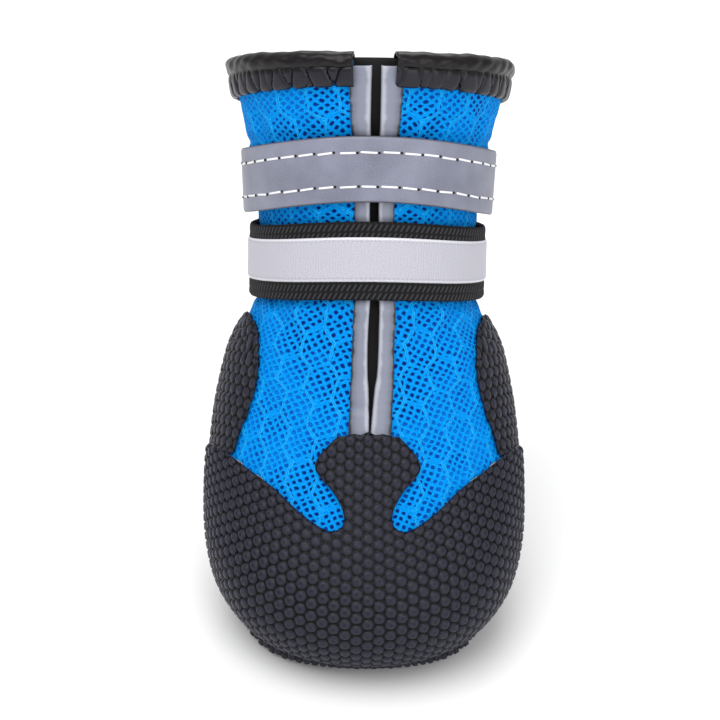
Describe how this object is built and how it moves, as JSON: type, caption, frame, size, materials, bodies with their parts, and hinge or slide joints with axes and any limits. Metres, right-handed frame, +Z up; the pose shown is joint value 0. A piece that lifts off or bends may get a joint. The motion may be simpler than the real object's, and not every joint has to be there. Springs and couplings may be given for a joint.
{
  "type": "dog boot",
  "caption": "Soft mesh dog boot with a split front, rugged toe cap and heel counter, moulded tread sole and fastening straps round the ankle.",
  "frame": {"origin": "on the ground under the ball of the paw, at the centre of the forefoot's flat spot", "axes": "+Z up, the toe points along -Y, +X to the right of someone who looks at the boot's front"},
  "size_m": [0.073, 0.0992, 0.1318],
  "materials": {
    "sole_rubber": "matt moulded black rubber",
    "insole_foam": "dark brushed cloth over foam",
    "air_mesh": "bright blue knitted air mesh with small holes",
    "stretch_knit": "matt black stretch cloth",
    "edge_tape": "satin grey reflective cloth tape",
    "rugged_panel": "charcoal coated cloth with small round bumps",
    "binding_tape": "satin charcoal stretch binding",
    "webbing": "black ribbed webbing with a bright reflective stripe",
    "reflective_tape": "satin grey reflective cloth with dashed edge stitching"
  },
  "bodies": {
    "root": {"outsole": "sole_rubber", "insole": "insole_foam", "upper": "air_mesh", "split_gusset": "stretch_knit", "split_edging_left": "edge_tape", "split_edging_right": "edge_tape", "toe_cap": "rugged_panel", "heel_counter": "rugged_panel", "collar_binding": "binding_tape", "lower_strap": "webbing", "upper_strap": "reflective_tape"}
  },
  "joints": []
}
